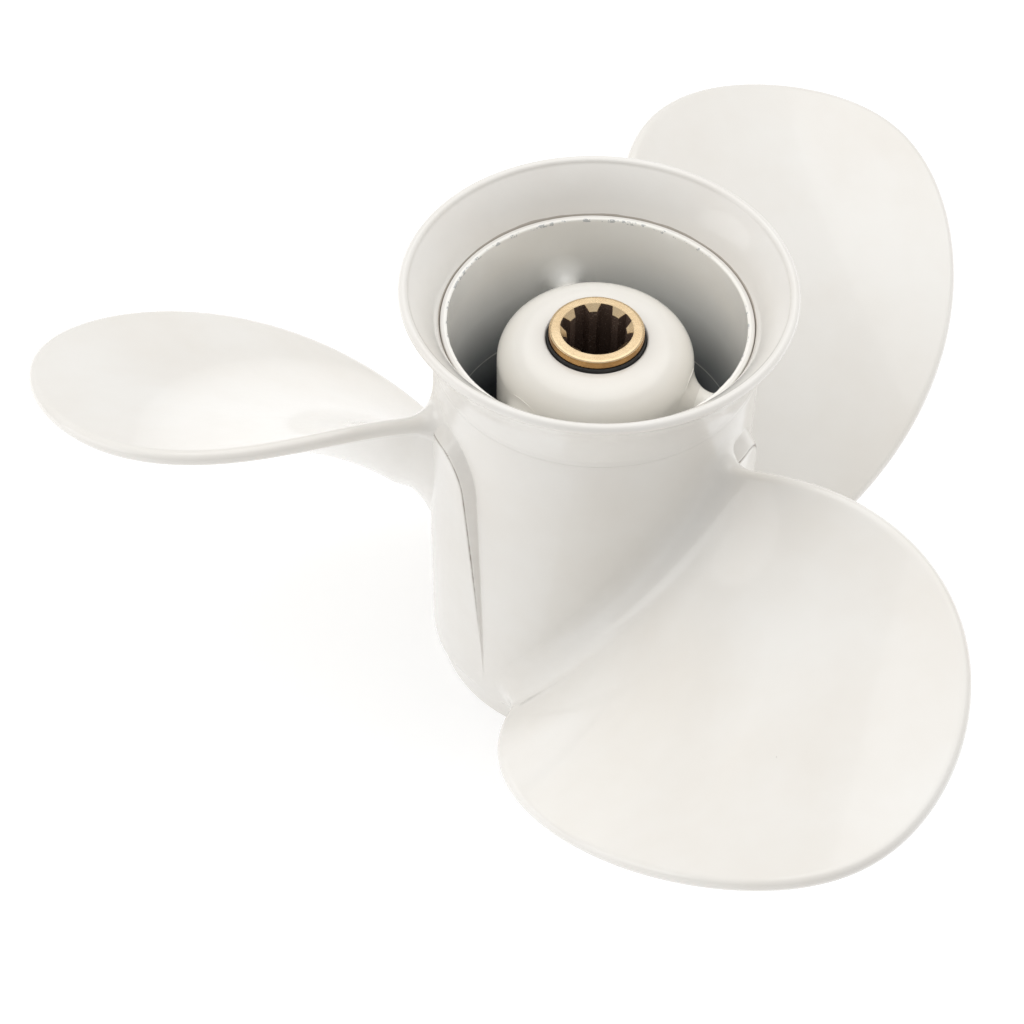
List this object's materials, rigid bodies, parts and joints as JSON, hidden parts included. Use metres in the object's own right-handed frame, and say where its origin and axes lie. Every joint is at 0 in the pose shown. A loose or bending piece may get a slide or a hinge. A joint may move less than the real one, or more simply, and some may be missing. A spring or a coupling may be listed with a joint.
{
  "type": "boat propeller",
  "caption": "Through-hub-exhaust outboard propeller with broad raked blades, a flared diffuser ring, and a rubber-bushed splined drive sleeve.",
  "frame": {"origin": "on the shaft axis, in the plane of the barrel's forward end", "axes": "+Z along the shaft axis, pointing aft; the barrel stands on its forward end; -Y is the side the first blade's root faces"},
  "size_m": [0.2048, 0.2081, 0.1043],
  "materials": {
    "painted_casting": "gloss",
    "painted_ring": "gloss",
    "bush_rubber": "matte",
    "sleeve_brass": "satin"
  },
  "bodies": {
    "drive_sleeve": {"splined_sleeve": "sleeve_brass"},
    "bush": {"rubber_bush": "bush_rubber"},
    "casting": {"barrel": "painted_casting", "hub_boss": "painted_casting", "rib_1": "painted_casting", "rib_2": "painted_casting", "rib_3": "painted_casting", "blade_1": "painted_casting", "blade_2": "painted_casting", "blade_3": "painted_casting", "diffuser_ring": "painted_ring"}
  },
  "joints": [
    {"name": "bush_windup", "type": "hinge", "parent": "drive_sleeve", "child": "bush", "pos_m": [0, 0, 0.05], "axis": [0, 0, 1], "range_deg": [-8, 8], "stiffness_Nm_per_rad": 460},
    {"name": "overload_slip", "type": "hinge", "parent": "bush", "child": "casting", "pos_m": [0, 0, 0.05], "axis": [0, 0, 1], "continuous": true}
  ]
}
